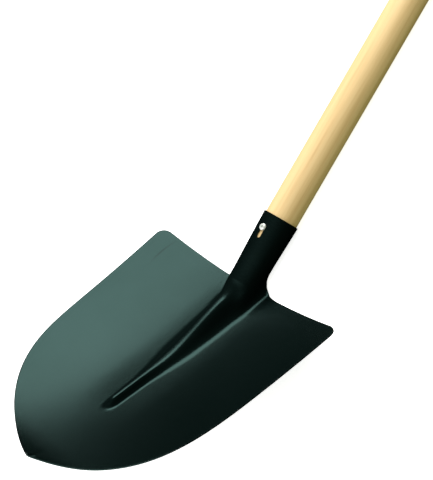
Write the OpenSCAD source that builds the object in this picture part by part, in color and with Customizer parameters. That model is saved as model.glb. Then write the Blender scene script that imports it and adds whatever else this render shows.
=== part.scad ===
// Round point shovel: pressed blade with a rolled socket, a straight round
// wooden handle, and the screw that holds the handle in the socket.
// Millimetres. The shovel lies front side up: +Y runs from the point of the
// blade to the free end of the handle, +Z is up, the origin is under the middle.

/* [Blade] */
// width of the blade across its straight sides
blade_w = 268; // [180:1:320]
// length of the blade from its shoulders to its point
blade_len = 308; // [220:1:400]
// length of the straight sides below the shoulders
straight_len = 100; // [40:1:160]
// how much the half width shrinks per millimetre down the blade
side_taper = 0.036; // [0:0.001:0.08]
// radius of the two rounded shoulder corners
corner_r = 11; // [4:0.5:30]
// thickness of the pressed sheet
sheet_t = 1.5; // [1:0.1:3]
// depth of the middle of the blade below its shoulder corners
dish_deep = 19.5; // [10:0.5:40]
// depth of the middle of the shoulders below their corners
heel_deep = 12.7; // [5:0.1:30]
// height the last stretch of the point turns up
point_lift = 8.3; // [0:0.1:25]
// lift of the blade from the line of the handle, in degrees
lift_angle = 31.9; // [15:0.1:45]

/* [Spine] */
// height of the raised spine just below the bend
spine_h = 20; // [5:0.5:25]
// height of the slender end of the spine
spine_end_h = 6.6; // [1:0.1:10]
// height of the soft swell on which the spine stands
swell_h = 0.8; // [0:0.1:5]
// half width of that swell
swell_w = 42; // [20:1:80]
// how far the spine runs down the blade
spine_len = 209; // [120:1:280]
// radius of the fillet where the socket meets the shoulders
foot_r = 9; // [3:0.5:15]

/* [Socket] */
// length of the socket above the shoulders
socket_len = 77; // [50:1:120]
// radius of the sheet's middle at the mouth of the socket
mouth_r = 18.95; // [12:0.05:25]
// how much the radius shrinks per millimetre down the socket
socket_taper = 0.03; // [0:0.005:0.06]
// gap of the seam at the back of the socket
seam_gap = 1.6; // [0.5:0.1:4]
// width of the slot for the screw
slot_w = 5; // [3:0.1:8]
// length of the slot along the socket
slot_len = 14.5; // [8:0.5:30]
// distance of the screw below the mouth of the socket
screw_down = 15; // [8:0.5:30]

/* [Handle] */
// radius of the wooden handle
handle_r = 18; // [12:0.1:22]
// full length of the handle with the part inside the socket
handle_len = 1200; // [600:10:1500]
// length of the handle inside the socket
tenon_len = 63; // [40:1:75]
// length of the rounded free end
round_len = 13; // [4:0.5:30]

/* [Screw] */
// radius of the pan head
head_r = 3.7; // [3:0.1:6]
// height of the pan head
head_h = 2.4; // [1.5:0.1:4]
// radius of the shank
shank_r = 2.2; // [1.5:0.05:2.4]
// length of the shank below the head
shank_len = 17; // [8:0.5:30]

/* [Hidden] */
half_w = blade_w / 2;
heel_r = mouth_r - socket_taper * socket_len;
mouth_out = mouth_r + sheet_t / 2;
rise = sin(lift_angle);
run = cos(lift_angle);
heel_z = -14;
foot_up = (-heel_deep - heel_z) * run;
arch_h = 2 * heel_r - foot_up;
arch_w = heel_r + foot_r;
handle_end = socket_len - tenon_len + handle_len;
tip_reach = 254;
y_heel = -(handle_end - tip_reach) / 2;
axis_z = mouth_out;
mouth_y = y_heel + socket_len;
screw_y = mouth_y - screw_down;

// smooth step from 0 to 1
function ease(t) = t <= 0 ? 0 : t >= 1 ? 1 : t * t * (3 - 2 * t);

// half width of the blade at a place y along it, with y = 0 at the shoulders
function side_x(y) =
  y > -corner_r ? half_w - corner_r + sqrt(max(0, corner_r * corner_r - (y + corner_r) * (y + corner_r))) :
  (half_w + side_taper * (y + corner_r)) *
  pow(max(0, 1 - pow(max(0, -y - straight_len) / (blade_len - straight_len), 3.75)), 0.92);

// height of the middle line of the dished blade
function dish_z(y) =
  (y > -130 ? -dish_deep + (dish_deep - heel_deep) * pow((y + 130) / 130, 2) :
  -dish_deep + 9.5 * pow((-y - 130) / 160, 2)) + point_lift * pow(max(0, -y - 268) / 40, 2.2);

// how strongly the blade curves across
function dish_k(y) =
  y > -150 ? 0.00114 - 0.00019 * pow((y + 150) / 150, 2) :
  0.00114 - 0.0005 * pow((-y - 150) / 120, 2.5);

// one half of a ridge with straight flanks and rounded crest and foot
crest_part = 0.4;
foot_part = 0.6;
function ramp(u) = pow(u, 3) - pow(u, 4) / 2;
function flank(q) =
  q < crest_part ? crest_part * ramp(q / crest_part) :
  q < 1 - foot_part ? q - crest_part / 2 :
  1 - foot_part - crest_part / 2 + foot_part * (1 - pow((1 - q) / foot_part, 3)) / 3;
function bell(q) = 1 - flank(min(1, abs(q))) / flank(1);

// surface of the dished blade without its spine
function dish(x, y) =
  dish_z(y) + dish_k(y) * x * x
  + swell_h * ease(-y / 30) * ease((y + 235) / 70) * (1 + cos(180 * min(1, abs(x) / swell_w))) / 2;

// height of the spine above the dish, and of the small crease at the point
function ridge_h(y) =
  (spine_end_h + (spine_h - spine_end_h) * ease((y + 133) / 103)) * ease((y + spine_len) / 15)
  + (arch_h - spine_h) * pow(max(0, (y + 38) / 38), 1.7)
  + 2.6 * ease((-y - 288) / 16);

// half width of the spine at its foot
function ridge_w(y) = max(8, 9.6 + 0.05 * (y + 198)) + 8 * ease((y + 165) / 65);

// share of the full arch in the section, from the plain ridge to the socket
function arch_share(y) = ease((y + 50) / 50);

// section of the full arch: x and height for a share t of its half length
arch_a = 90 * PI / 180 * heel_r;
arch_b = arch_h - heel_r - foot_r;
arch_c = 90 * PI / 180 * foot_r;
function arch(t) = arch_at(t * (arch_a + arch_b + arch_c));
function arch_at(s) =
  s < arch_a ? [heel_r * sin(90 * s / arch_a), arch_h - heel_r + heel_r * cos(90 * s / arch_a)] :
  s < arch_a + arch_b ? [heel_r, arch_h - heel_r - (s - arch_a)] :
  [heel_r + foot_r * (1 - cos(90 * (s - arch_a - arch_b) / arch_c)),
   foot_r * (1 - sin(90 * (s - arch_a - arch_b) / arch_c))];

// section of the ridge at y for a share q from -1 to 1: x and height
function ridge(q, y, w) =
  let (m = arch_share(y), a = arch(abs(q)), g = q < 0 ? -1 : 1)
  [(1 - m) * w * q + m * g * a[0], ridge_h(y) * ((1 - m) * bell(q) + m * a[1] / arch_h)];

// from the blade's own frame to the frame of the shovel
function place(x, y, z, h, tilt) =
  let (py = y - h * sin(tilt), pz = z - heel_z + h * cos(tilt))
  [x, y_heel + py * run + pz * rise, axis_z - heel_r - py * rise + pz * run];

// the middle of the sheet: rows run from the point to the mouth of the socket,
// columns run across, first the left wing, then the middle, then the right wing
blade_rows = 42;
tube_rows = 12;
wing = 12;
mid = 26;
cols = 2 * wing + mid;
notch_up = 2;

function row_y(i) = -(blade_len - 0.4) * (1 - i / blade_rows + 0.5 / (2 * PI) * sin(360 * i / blade_rows));
function mid_w(y) = min((1 - arch_share(y)) * ridge_w(y) + arch_share(y) * arch_w, 0.55 * side_x(y));
function blade_pt(i, j) =
  let (y = row_y(i), w = mid_w(y), q = (j - wing - mid / 2) / (mid / 2), g = q < 0 ? -1 : 1)
  abs(q) <= 1 ? mid_pt(y, w, q) : wing_pt(y, g, w, w + (side_x(y) - w) * (abs(q) - 1) * mid / 2 / wing);
function mid_pt(y, w, q) =
  let (r = ridge(q, y, w), up = notch_up * ease((y + 25) / 25) * pow(abs(q), 6))
  place(r[0], y + up, dish(r[0], y), r[1], lift_angle * ease((y + 45) / 45));
function wing_pt(y, g, w, x) =
  let (up = notch_up * ease((y + 25) / 25) * pow(max(0, 1 - (x - w) / 14), 2))
  place(g * x, y + up, dish(x, y), 0, 0);

// the socket: its section closes from the arch to a tube with a seam at the back
function tube_pt(i, j) =
  let (a = socket_len * pow(i / tube_rows, 1.35), q = (j - wing - mid / 2) / (mid / 2), g = q < 0 ? -1 : 1,
       b = 1 - pow(1 - min(1, a / 38), 2), r = heel_r + socket_taper * a, s = arch(abs(q)),
       f = abs(q) * (180 - asin(seam_gap / 2 / r)),
       x = (1 - b) * s[0] + b * r * sin(f), h = (1 - b) * s[1] + b * (heel_r - foot_up + r * cos(f)),
       up = notch_up * max(0, 1 - a / 12) * pow(abs(q), 6))
  place(g * x, a * run + up, dish_z(0) + a * rise + (1 - b) * dish_k(0) * x * x, h, lift_angle);

function sheet_pt(i, j) = i <= blade_rows ? blade_pt(i, j) : tube_pt(i - blade_rows, j);
all_rows = blade_rows + tube_rows;
function low_j(i) = i <= blade_rows ? 0 : wing;
function high_j(i) = i <= blade_rows ? cols : wing + mid;
grid = [for (i = [0 : all_rows]) [for (j = [0 : cols]) j < low_j(i) || j > high_j(i) ? [0, 0, 0] : sheet_pt(i, j)]];
function normal(i, j) =
  let (mid_col = j >= wing && j <= wing + mid,
       i1 = min(i + 1, mid_col ? all_rows : blade_rows), i0 = max(i - 1, 0),
       j1 = min(j + 1, high_j(i)), j0 = max(j - 1, low_j(i)),
       n = cross(grid[i][j1] - grid[i][j0], grid[i1][j] - grid[i0][j]))
  n / norm(n);
function row_start(i) =
  i <= blade_rows ? i * (cols + 1) : (blade_rows + 1) * (cols + 1) + (i - blade_rows - 1) * (mid + 1);
function at(i, j) = row_start(i) + j - low_j(i);
sheet_count = row_start(all_rows + 1);
front_pts = [for (i = [0 : all_rows]) for (j = [low_j(i) : high_j(i)]) grid[i][j] + normal(i, j) * sheet_t / 2];
back_pts = [for (i = [0 : all_rows]) for (j = [low_j(i) : high_j(i)]) grid[i][j] - normal(i, j) * sheet_t / 2];

// the rim of the sheet, walked once round with the sheet on the left
rim_path = concat(
  [for (j = [0 : cols - 1]) at(0, j)],
  [for (i = [0 : blade_rows - 1]) at(i, cols)],
  [for (j = [cols : -1 : wing + mid + 1]) at(blade_rows, j)],
  [for (i = [blade_rows : all_rows - 1]) at(i, wing + mid)],
  [for (j = [wing + mid : -1 : wing + 1]) at(all_rows, j)],
  [for (i = [all_rows : -1 : blade_rows + 1]) at(i, wing)],
  [for (j = [wing : -1 : 1]) at(blade_rows, j)],
  [for (i = [blade_rows : -1 : 1]) at(i, 0)]);
cells = [for (i = [0 : all_rows - 1]) for (j = [low_j(i + 1) : high_j(i + 1) - 1]) [i, j]];
front_faces = [for (c = cells) for (k = [0, 1])
  k == 0 ? [at(c[0], c[1]), at(c[0] + 1, c[1] + 1), at(c[0], c[1] + 1)] :
  [at(c[0], c[1]), at(c[0] + 1, c[1]), at(c[0] + 1, c[1] + 1)]];
back_faces = [for (f = front_faces) [f[0] + sheet_count, f[2] + sheet_count, f[1] + sheet_count]];
rim_n = len(rim_path);
rim_faces = [for (k = [0 : rim_n - 1]) for (s = [0, 1])
  let (p = rim_path[k], r = rim_path[(k + 1) % rim_n])
  s == 0 ? [p, r, r + sheet_count] : [p, r + sheet_count, p + sheet_count]];

module blade() {
  color([0.10, 0.16, 0.14])
  difference() {
    polyhedron(points = concat(front_pts, back_pts), faces = concat(front_faces, back_faces, rim_faces));
    translate([0, screw_y, axis_z + 10]) cylinder(r = slot_w / 2, h = 20, $fn = 48);
    translate([0, screw_y - slot_len + slot_w, axis_z + 10]) cylinder(r = slot_w / 2, h = 20, $fn = 48);
    translate([-slot_w / 2, screw_y - slot_len + slot_w, axis_z + 10]) cube([slot_w, slot_len - slot_w, 20]);
  }
}

// the handle: a tapered tenon, a long straight round bar, a rounded free end
cone_end = tenon_len + 1;
tenon_r = handle_r - socket_taper * cone_end;
module handle() {
  color([0.86, 0.72, 0.50])
  difference() {
    translate([0, mouth_y - tenon_len, axis_z]) rotate([-90, 0, 0]) union() {
      cylinder(r1 = tenon_r - 3, r2 = tenon_r, h = 4, $fn = 96);
      translate([0, 0, 4]) cylinder(r1 = tenon_r, r2 = handle_r, h = cone_end - 4, $fn = 96);
      translate([0, 0, cone_end]) cylinder(r = handle_r, h = handle_len - cone_end - round_len, $fn = 96);
      translate([0, 0, handle_len - round_len]) rotate_extrude($fn = 96)
        polygon([[0, 0], [handle_r, 0],
          for (a = [15 : 15 : 75]) [handle_r - 8 + 8 * cos(a), round_len * sin(a)], [handle_r - 8, round_len], [0, round_len]]);
    }
    translate([0, screw_y, axis_z + handle_r - shank_len]) cylinder(r = shank_r + 0.1, h = shank_len + 1, $fn = 48);
  }
}

// the screw: a pan head with a cross recess, and its shank down into the wood
screw_seat = axis_z + heel_r + socket_taper * (socket_len - screw_down) + sheet_t / 2;
module screw() {
  color([0.75, 0.78, 0.74])
  translate([0, screw_y, screw_seat]) difference() {
    union() {
      translate([0, 0, 0.05]) rotate_extrude($fn = 64)
        polygon([[0, 0], [head_r, 0], [head_r, 0.9], [head_r - 0.3, 1.6], [head_r - 1, 2.1], [head_r - 2, head_h], [0, head_h]]);
      translate([0, 0, -shank_len + 1.5]) cylinder(r = shank_r, h = shank_len - 1.4, $fn = 48);
      translate([0, 0, -shank_len]) cylinder(r1 = 0.3, r2 = shank_r, h = 1.5, $fn = 48);
    }
    translate([-1.9, -0.45, head_h - 1.3]) cube([3.8, 0.9, 3]);
    translate([-0.45, -1.9, head_h - 1.3]) cube([0.9, 3.8, 3]);
  }
}

blade();
handle();
screw();
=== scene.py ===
"""Looks of the round point shovel: a pressed blade with a spine and rolled socket, a wooden
handle and its screw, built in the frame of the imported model. Metres, +Y along the handle."""

import math

import bpy
from mathutils import Matrix, Vector


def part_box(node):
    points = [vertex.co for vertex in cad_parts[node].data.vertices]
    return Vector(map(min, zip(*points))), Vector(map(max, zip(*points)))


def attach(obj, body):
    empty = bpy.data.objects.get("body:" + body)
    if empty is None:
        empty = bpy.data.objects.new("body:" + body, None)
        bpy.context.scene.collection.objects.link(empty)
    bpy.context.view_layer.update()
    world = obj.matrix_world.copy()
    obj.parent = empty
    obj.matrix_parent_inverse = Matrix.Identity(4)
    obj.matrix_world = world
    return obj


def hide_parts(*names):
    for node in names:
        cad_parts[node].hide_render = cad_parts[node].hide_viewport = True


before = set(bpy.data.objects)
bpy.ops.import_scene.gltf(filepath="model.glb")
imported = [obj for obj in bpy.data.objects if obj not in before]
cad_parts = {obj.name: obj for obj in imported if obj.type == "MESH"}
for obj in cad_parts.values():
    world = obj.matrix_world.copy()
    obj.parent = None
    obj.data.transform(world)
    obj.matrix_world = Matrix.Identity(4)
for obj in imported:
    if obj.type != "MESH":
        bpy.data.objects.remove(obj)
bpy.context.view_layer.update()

MM = 0.001

# Driving sizes of the blade and its socket, as the frame was made, in millimetres.
HALF_W = 134.0
SIDE_TAPER = 0.036
BLADE_LEN = 308.0
STRAIGHT = 100.0
CORNER_R = 11.0
SHEET_T = 1.5
DISH = 19.5
HEEL_DISH = 12.7
HEEL_Z = -14.0
POINT_LIFT = 8.3
LIFT_START = 268.0
LIFT_RUN = 40.0
DEEPEST_Y = -130.0
POINT_RISE = 9.5
POINT_RUN = 160.0
LIFT = math.radians(31.9)
SPINE_H = 20.0
SPINE_END_H = 6.6
SWELL_H = 0.8
SWELL_W = 42.0
CREST_PART = 0.4
FOOT_PART = 0.6
SPINE_LEN = 209.0
NIB_H = 2.6
NIB_Y = -288.0
NIB_RUN = 16.0
FOOT_R = 9.0
SOCKET_LEN = 77.0
MOUTH_R = 18.95
TAPER = 0.03
SEAM = 1.6
NOTCH_UP = 2.0
HEEL_R = MOUTH_R - TAPER * SOCKET_LEN
FOOT_UP = (-HEEL_DISH - HEEL_Z) * math.cos(LIFT)
ARCH_H = 2 * HEEL_R - FOOT_UP
ARCH_W = HEEL_R + FOOT_R
ARCH_PARTS = (math.pi / 2 * HEEL_R, ARCH_H - HEEL_R - FOOT_R, math.pi / 2 * FOOT_R)
AXIS_Z = MOUTH_R + SHEET_T / 2

MOUTH_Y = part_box("blade")[1][1] / MM
HEEL_Y = MOUTH_Y - SOCKET_LEN
screw_low, screw_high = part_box("screw")
SCREW_Y = (screw_low[1] + screw_high[1]) / 2
SLOT_W = 5.0
SLOT_LEN = 14.5


def ease(t):
    t = min(1.0, max(0.0, t))
    return t * t * (3 - 2 * t)


def side_x(y):
    """Half width of the blade at y, counted down from the shoulders."""
    if y > -CORNER_R:
        return HALF_W - CORNER_R + math.sqrt(max(0.0, CORNER_R**2 - (y + CORNER_R) ** 2))
    down = max(0.0, -y - STRAIGHT) / (BLADE_LEN - STRAIGHT)
    return (HALF_W + SIDE_TAPER * (y + CORNER_R)) * max(0.0, 1 - down**3.75) ** 0.92


def dish_z(y):
    """Height of the middle line of the dish."""
    lift = POINT_LIFT * (max(0.0, -y - LIFT_START) / LIFT_RUN) ** 2.2
    if y > DEEPEST_Y:
        return -DISH + (DISH - HEEL_DISH) * ((y - DEEPEST_Y) / DEEPEST_Y) ** 2 + lift
    return -DISH + POINT_RISE * ((DEEPEST_Y - y) / POINT_RUN) ** 2 + lift


def dish_k(y):
    """How strongly the blade curves across."""
    if y > -150:
        return 0.00114 - 0.00019 * ((y + 150) / 150) ** 2
    return 0.00114 - 0.0005 * ((-y - 150) / 120) ** 2.5


def flank(q):
    """How far a flank has come down at q: straight, with a rounded crest and foot."""
    if q < CREST_PART:
        return CREST_PART * ((q / CREST_PART) ** 3 - (q / CREST_PART) ** 4 / 2)
    if q < 1 - FOOT_PART:
        return q - CREST_PART / 2
    u = (q - 1 + FOOT_PART) / FOOT_PART
    return 1 - FOOT_PART - CREST_PART / 2 + FOOT_PART * (1 - (1 - u) ** 3) / 3


def bell(q):
    return 1 - flank(min(1.0, abs(q))) / flank(1.0)


def dish(x, y):
    """Surface of the dished blade without its spine."""
    swell = SWELL_H * ease(-y / 30) * ease((y + 235) / 70)
    return dish_z(y) + dish_k(y) * x * x + swell * (1 + math.cos(math.pi * min(1, abs(x) / SWELL_W))) / 2


def ridge_h(y):
    """Height of the spine, and of the small crease at the point."""
    spine = SPINE_END_H + (SPINE_H - SPINE_END_H) * ease((y + 133) / 103)
    rise = (ARCH_H - SPINE_H) * max(0.0, (y + 38) / 38) ** 1.7
    return spine * ease((y + SPINE_LEN) / 15) + rise + NIB_H * ease((NIB_Y - y) / NIB_RUN)


def ridge_w(y):
    """Half width of the spine at its foot."""
    return max(8.0, 9.6 + 0.05 * (y + 198)) + 8 * ease((y + 165) / 65)


def arch(t):
    """Section of the full arch, from its top to its foot: x and height."""
    first, wall, last = ARCH_PARTS
    s = t * sum(ARCH_PARTS)
    if s < first:
        turn = math.pi / 2 * s / first
        return HEEL_R * math.sin(turn), ARCH_H - HEEL_R + HEEL_R * math.cos(turn)
    if s < first + wall:
        return HEEL_R, ARCH_H - HEEL_R - (s - first)
    turn = math.pi / 2 * (s - first - wall) / last
    return HEEL_R + FOOT_R * (1 - math.cos(turn)), FOOT_R * (1 - math.sin(turn))


def place(x, y, z, h, tilt):
    """From the blade's own frame to the row frame, raised by h along a tilted line."""
    down = y - h * math.sin(tilt)
    up = z - HEEL_Z + h * math.cos(tilt)
    run, rise = math.cos(LIFT), math.sin(LIFT)
    return Vector((x, HEEL_Y + down * run + up * rise, AXIS_Z - HEEL_R - down * rise + up * run)) * MM


BLADE_ROWS = 190
TUBE_ROWS = 46
WING = 44
MID = 84
COLS = 2 * WING + MID


def row_y(i):
    u = i / BLADE_ROWS
    return -(BLADE_LEN - 0.4) * (1 - u + 0.5 / (2 * math.pi) * math.sin(2 * math.pi * u))


def mid_w(y):
    share = ease((y + 50) / 50)
    return min((1 - share) * ridge_w(y) + share * ARCH_W, 0.55 * side_x(y))


def blade_point(i, j):
    y = row_y(i)
    w = mid_w(y)
    q = (j - WING - MID / 2) / (MID / 2)
    g = -1 if q < 0 else 1
    near = NOTCH_UP * ease((y + 25) / 25)
    if abs(q) <= 1:
        share = ease((y + 50) / 50)
        ax, ah = arch(abs(q))
        x = (1 - share) * w * q + share * g * ax
        h = ridge_h(y) * ((1 - share) * bell(q) + share * ah / ARCH_H)
        return place(x, y + near * abs(q) ** 6, dish(x, y), h, LIFT * ease((y + 45) / 45))
    x = w + (side_x(y) - w) * (abs(q) - 1) * MID / 2 / WING
    up = near * max(0.0, 1 - (x - w) / 14) ** 2
    return place(g * x, y + up, dish(x, y), 0, 0)


def tube_point(i, j):
    """The socket: its section closes from the arch to a tube with a seam at the back."""
    a = SOCKET_LEN * (i / TUBE_ROWS) ** 1.35
    q = (j - WING - MID / 2) / (MID / 2)
    g = -1 if q < 0 else 1
    b = 1 - (1 - min(1.0, a / 38)) ** 2
    r = HEEL_R + TAPER * a
    sx, sh = arch(abs(q))
    turn = abs(q) * (math.pi - math.asin(SEAM / 2 / r))
    x = (1 - b) * sx + b * r * math.sin(turn)
    h = (1 - b) * sh + b * (HEEL_R - FOOT_UP + r * math.cos(turn))
    up = NOTCH_UP * max(0.0, 1 - a / 12) * abs(q) ** 6
    y, z = a * math.cos(LIFT) + up, dish_z(0) + a * math.sin(LIFT)
    return place(g * x, y, z + (1 - b) * dish_k(0) * x * x, h, LIFT)


def low_col(i):
    return 0 if i <= BLADE_ROWS else WING


def high_col(i):
    return COLS if i <= BLADE_ROWS else WING + MID


def make_mesh(name, points, faces, smooth=True):
    mesh = bpy.data.meshes.new(name)
    mesh.from_pydata([tuple(p) for p in points], [], faces)
    mesh.validate()
    mesh.update()
    mesh.polygons.foreach_set("use_smooth", [smooth] * len(mesh.polygons))
    piece = bpy.data.objects.new(name, mesh)
    bpy.context.scene.collection.objects.link(piece)
    return piece


def blade_sheet():
    """Front and back of the sheet, closed round its cut edge."""
    rows = BLADE_ROWS + TUBE_ROWS
    grid = {}
    for i in range(rows + 1):
        for j in range(low_col(i), high_col(i) + 1):
            grid[i, j] = blade_point(i, j) if i <= BLADE_ROWS else tube_point(i - BLADE_ROWS, j)
    index = {key: n for n, key in enumerate(grid)}
    count = len(index)
    front, back = [], []
    for (i, j), p in grid.items():
        top = rows if WING <= j <= WING + MID else BLADE_ROWS
        along = grid[min(i + 1, top), j] - grid[max(i - 1, 0), j]
        across = grid[i, min(j + 1, high_col(i))] - grid[i, max(j - 1, low_col(i))]
        n = across.cross(along).normalized() * (SHEET_T / 2 * MM)
        front.append(p + n)
        back.append(p - n)
    faces = []
    for i in range(rows):
        for j in range(low_col(i + 1), high_col(i + 1)):
            quad = [index[i, j], index[i, j + 1], index[i + 1, j + 1], index[i + 1, j]]
            faces.append(quad)
            faces.append([k + count for k in reversed(quad)])
    rim = [(0, j) for j in range(COLS)]
    rim += [(i, COLS) for i in range(BLADE_ROWS)]
    rim += [(BLADE_ROWS, j) for j in range(COLS, WING + MID, -1)]
    rim += [(i, WING + MID) for i in range(BLADE_ROWS, rows)]
    rim += [(rows, j) for j in range(WING + MID, WING, -1)]
    rim += [(i, WING) for i in range(rows, BLADE_ROWS, -1)]
    rim += [(BLADE_ROWS, j) for j in range(WING, 0, -1)]
    rim += [(i, 0) for i in range(BLADE_ROWS, 0, -1)]
    for k, key in enumerate(rim):
        a, b = index[key], index[rim[(k + 1) % len(rim)]]
        faces.append([b, a, a + count, b + count])
    return make_mesh("pressed_blade", front + back, faces)


def cut_slot(piece):
    """The rounded slot for the screw, in the front of the socket."""
    points, faces = [], []
    steps = 12
    outline = []
    for end, base in ((SCREW_Y, 0.0), (SCREW_Y - (SLOT_LEN - SLOT_W) * MM, math.pi)):
        for k in range(steps + 1):
            turn = base + math.pi * k / steps
            outline.append((SLOT_W / 2 * MM * math.cos(turn), end + SLOT_W / 2 * MM * math.sin(turn)))
    count = len(outline)
    for z in (AXIS_Z * MM + 0.010, AXIS_Z * MM + 0.030):
        points += [(x, y, z) for x, y in outline]
    faces.append(list(range(count))[::-1])
    faces.append([count + k for k in range(count)])
    for k in range(count):
        n = (k + 1) % count
        faces.append([k, n, n + count, k + count])
    tool = make_mesh("slot_tool", points, faces, smooth=False)
    cut = piece.modifiers.new("slot", "BOOLEAN")
    cut.operation = "DIFFERENCE"
    cut.solver = "EXACT"
    cut.object = tool
    apply_modifier(piece, cut)
    bpy.data.objects.remove(tool)


def apply_modifier(piece, modifier):
    bpy.context.view_layer.objects.active = piece
    with bpy.context.temp_override(object=piece, active_object=piece):
        bpy.ops.object.modifier_apply(modifier=modifier.name)


def soften(piece, width, segments=2, angle=40):
    bevel = piece.modifiers.new("soft_edge", "BEVEL")
    bevel.width = width
    bevel.segments = segments
    bevel.limit_method = "ANGLE"
    bevel.angle_limit = math.radians(angle)
    return bevel


# Materials

SCRATCH_CENTRE = (-10.0, -24.0)
SCRATCH_MIDDLE = (-113.0, -24.0)
SCRATCH_HALF_W = 0.5
SCRATCH_REACH = 24.0


def new_material(name):
    material = bpy.data.materials.new(name)
    material.use_nodes = True
    tree = material.node_tree
    shader = tree.nodes["Principled BSDF"]
    return material, tree, shader


def noise_at(tree, scale, stretch=(1, 1, 1), detail=4.0, rough=0.5):
    where = tree.nodes.new("ShaderNodeTexCoord")
    mapping = tree.nodes.new("ShaderNodeMapping")
    mapping.inputs["Scale"].default_value = stretch
    tree.links.new(where.outputs["Object"], mapping.inputs["Vector"])
    grain = tree.nodes.new("ShaderNodeTexNoise")
    grain.inputs["Scale"].default_value = scale
    grain.inputs["Detail"].default_value = detail
    grain.inputs["Roughness"].default_value = rough
    tree.links.new(mapping.outputs["Vector"], grain.inputs["Vector"])
    return grain


def ramp_of(tree, source, stops):
    ramp = tree.nodes.new("ShaderNodeValToRGB")
    elements = ramp.color_ramp.elements
    while len(elements) < len(stops):
        elements.new(0.5)
    for element, (position, colour) in zip(elements, stops):
        element.position = position
        element.color = (*colour, 1.0)
    tree.links.new(source, ramp.inputs["Fac"])
    return ramp


def bump_of(tree, shader, source, strength, distance):
    bump = tree.nodes.new("ShaderNodeBump")
    bump.inputs["Strength"].default_value = strength
    bump.inputs["Distance"].default_value = distance
    tree.links.new(source, bump.inputs["Height"])
    tree.links.new(bump.outputs["Normal"], shader.inputs["Normal"])


def blade_paint():
    material, tree, shader = new_material("blade_paint")
    shader.inputs["Metallic"].default_value = 0.85
    cloud = noise_at(tree, 14.0)
    stops = [(0.35, (0.0064, 0.0194, 0.0168)), (0.65, (0.0078, 0.0218, 0.0192))]
    colour = ramp_of(tree, cloud.outputs["Fac"], stops)
    shader.inputs["Roughness"].default_value = 0.24
    fine = noise_at(tree, 520.0, detail=3.0, rough=0.65)
    bump_of(tree, shader, fine.outputs["Fac"], 0.28, 0.0004)
    mark = scratch_line(tree)
    marked = tree.nodes.new("ShaderNodeMix")
    marked.data_type = "RGBA"
    tree.links.new(mark, marked.inputs["Factor"])
    tree.links.new(colour.outputs["Color"], marked.inputs["A"])
    marked.inputs["B"].default_value = (0.003, 0.008, 0.007, 1)
    tree.links.new(marked.outputs["Result"], shader.inputs["Base Color"])
    return material


def scratch_line(tree):
    """A thin arc scratched across the left shoulder, strongest in its middle."""
    point = tree.nodes.new("ShaderNodeTexCoord")
    centre = place(*SCRATCH_CENTRE, dish(*SCRATCH_CENTRE), 0, 0)
    middle = place(*SCRATCH_MIDDLE, dish(*SCRATCH_MIDDLE), 0, 0)
    from_centre = distance_to(tree, point, centre)
    off = maths(tree, "SUBTRACT", from_centre, (middle - centre).length)
    near = maths(tree, "LESS_THAN", maths(tree, "ABSOLUTE", off), SCRATCH_HALF_W * MM)
    share = maths(tree, "DIVIDE", distance_to(tree, point, middle), SCRATCH_REACH * MM)
    fade = maths(tree, "MAXIMUM", maths(tree, "SUBTRACT", 1.0, share), 0.0)
    return maths(tree, "MULTIPLY", near, fade)


def distance_to(tree, point, target):
    node = tree.nodes.new("ShaderNodeVectorMath")
    node.operation = "DISTANCE"
    node.inputs[1].default_value = target
    tree.links.new(point.outputs["Object"], node.inputs[0])
    return node.outputs["Value"]


def maths(tree, operation, first, second=None):
    node = tree.nodes.new("ShaderNodeMath")
    node.operation = operation
    for socket, value in zip(node.inputs, (first, second)):
        if isinstance(value, (int, float)):
            socket.default_value = value
        elif value is not None:
            tree.links.new(value, socket)
    return node.outputs["Value"]


def handle_wood():
    material, tree, shader = new_material("handle_wood")
    grain = noise_at(tree, 160.0, stretch=(1, 0.03, 1), detail=6.0, rough=0.6)
    stops = [(0.30, (0.64, 0.42, 0.18)), (0.50, (0.74, 0.52, 0.245)), (0.70, (0.77, 0.56, 0.28))]
    colour = ramp_of(tree, grain.outputs["Fac"], stops)
    tree.links.new(colour.outputs["Color"], shader.inputs["Base Color"])
    shader.inputs["Roughness"].default_value = 0.42
    bump_of(tree, shader, grain.outputs["Fac"], 0.10, 0.0004)
    return material


def screw_zinc():
    material, tree, shader = new_material("screw_zinc")
    shader.inputs["Metallic"].default_value = 0.45
    shader.inputs["Base Color"].default_value = (0.80, 0.84, 0.79, 1)
    shader.inputs["Roughness"].default_value = 0.30
    return material


# Camera first: long lens, from the blade's right, high, and turned so that the handle runs up right.

RIGHT = Vector((0.662, 0.503, -0.556))
UP = Vector((-0.385, 0.864, 0.323))
BACK = Vector((0.643, 0.0, 0.766))
CAMERA_D = 3.3
VIEW_H = 0.4948
SENSOR = 36
AIM_LEFT = 0.0335
AIM_UP = 0.0412


def set_camera():
    target = place(0, 0, 0, 0, 0) - RIGHT * AIM_LEFT + UP * AIM_UP
    lens = bpy.data.cameras.new("camera")
    lens.sensor_width = SENSOR
    lens.lens = SENSOR * CAMERA_D / VIEW_H
    lens.clip_end = 50
    camera = bpy.data.objects.new("camera", lens)
    bpy.context.scene.collection.objects.link(camera)
    turn = camera.matrix_world.to_3x3()
    for k in range(3):
        turn[k][0], turn[k][1], turn[k][2] = RIGHT[k], UP[k], BACK[k]
    camera.matrix_world = turn.to_4x4()
    camera.location = target + BACK * CAMERA_D
    bpy.context.scene.camera = camera


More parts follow.
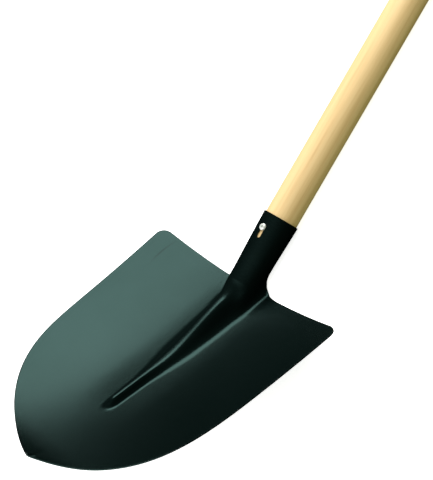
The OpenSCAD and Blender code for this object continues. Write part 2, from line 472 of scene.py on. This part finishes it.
KEY_WAY = (-0.315, 0.79, 0.53)
KEY_DISTANCE = 2.4
KEY_SIZE = (1.5, 2.1)
KEY_POWER = 62
SKY_WAY = (-0.45, 0.15, 0.88)
SKY_STRENGTH = 1.45
SKY_STOPS = [(0.0, (0.22, 0.25, 0.13)), (0.5, (0.78, 0.78, 0.78)), (1.0, (1, 1, 1))]
SHEEN_WAY = (0.0, -0.97, 0.24)
SHEEN_STRENGTH = 3.0
SHEEN_STOPS = [(0.30, (0, 0, 0)), (0.85, (1, 1, 1))]
PLAIN_STRENGTH = 1.2
PLAIN_COLOUR = (0.8, 0.8, 0.8, 1)
FLOOR_HALF = 12
FLOOR_Z = -0.0005


def softbox(name, toward, middle, distance, size, power):
    """A lamp whose long edges lie square to X, so that its reflection ends in a line along the blade."""
    light = bpy.data.lights.new(name, "AREA")
    light.shape = "RECTANGLE"
    light.size, light.size_y = size
    light.energy = power
    lamp = bpy.data.objects.new(name, light)
    bpy.context.scene.collection.objects.link(lamp)
    toward = Vector(toward).normalized()
    lamp.location = middle + toward * distance
    wide = (Vector((1, 0, 0)) - toward * toward.x).normalized()
    high = toward.cross(wide)
    lamp.rotation_euler = Matrix((wide, high, toward)).transposed().to_euler()


def sky_ramp(sky, main_way, stops):
    direction = sky.nodes.new("ShaderNodeTexCoord")
    toward = sky.nodes.new("ShaderNodeVectorMath")
    toward.operation = "DOT_PRODUCT"
    toward.inputs[1].default_value = main_way
    sky.links.new(direction.outputs["Generated"], toward.inputs[0])
    return ramp_of(sky, toward.outputs["Value"], stops)


def sky_part(sky, way, stops, strength):
    part = sky.nodes.new("ShaderNodeBackground")
    part.inputs["Strength"].default_value = strength
    sky.links.new(sky_ramp(sky, way, stops).outputs["Color"], part.inputs["Color"])
    return part


def set_world():
    """One sky for soft light, another for sheen on metal, and plain white for the camera."""
    world = bpy.data.worlds.new("studio")
    bpy.context.scene.world = world
    world.use_nodes = True
    sky = world.node_tree
    plain = sky.nodes["Background"]
    plain.inputs["Strength"].default_value = PLAIN_STRENGTH
    plain.inputs["Color"].default_value = PLAIN_COLOUR
    mixed = sky_part(sky, SKY_WAY, SKY_STOPS, SKY_STRENGTH)
    sheen = sky_part(sky, SHEEN_WAY, SHEEN_STOPS, SHEEN_STRENGTH)
    ray = sky.nodes.new("ShaderNodeLightPath")
    for other, kind in ((sheen, "Is Glossy Ray"), (plain, "Is Camera Ray")):
        mix = sky.nodes.new("ShaderNodeMixShader")
        sky.links.new(ray.outputs[kind], mix.inputs[0])
        sky.links.new(mixed.outputs[0], mix.inputs[1])
        sky.links.new(other.outputs[0], mix.inputs[2])
        mixed = mix
    sky.links.new(mixed.outputs[0], sky.nodes["World Output"].inputs["Surface"])


def set_stage():
    bpy.context.scene.view_settings.view_transform = "Standard"
    ends = ((-1, -1), (1, -1), (1, 1), (-1, 1))
    corners = [(x * FLOOR_HALF, y * FLOOR_HALF, FLOOR_Z) for x, y in ends]
    floor = make_mesh("floor", corners, [[0, 1, 2, 3]], smooth=False)
    material, tree, shader = new_material("floor")
    shader.inputs["Base Color"].default_value = (0.92, 0.92, 0.92, 1)
    shader.inputs["Emission Color"].default_value = (1, 1, 1, 1)
    shader.inputs["Emission Strength"].default_value = 0.75
    shader.inputs["Roughness"].default_value = 0.9
    shader.inputs["Specular IOR Level"].default_value = 0.0
    floor.data.materials.append(material)
    floor.visible_glossy = False
    floor.visible_diffuse = False
    middle = Vector((0, HEEL_Y * MM, 0.05))
    softbox("key", KEY_WAY, middle, KEY_DISTANCE, KEY_SIZE, KEY_POWER)


def main():
    set_camera()
    set_world()
    set_stage()
    blade = blade_sheet()
    cut_slot(blade)
    soften(blade, 0.00035)
    blade.data.materials.clear()
    blade.data.materials.append(blade_paint())
    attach(blade, "root")
    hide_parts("blade")
    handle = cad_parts["handle"]
    handle.data.materials.clear()
    handle.data.materials.append(handle_wood())
    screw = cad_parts["screw"]
    screw.data.materials.clear()
    screw.data.materials.append(screw_zinc())


main()
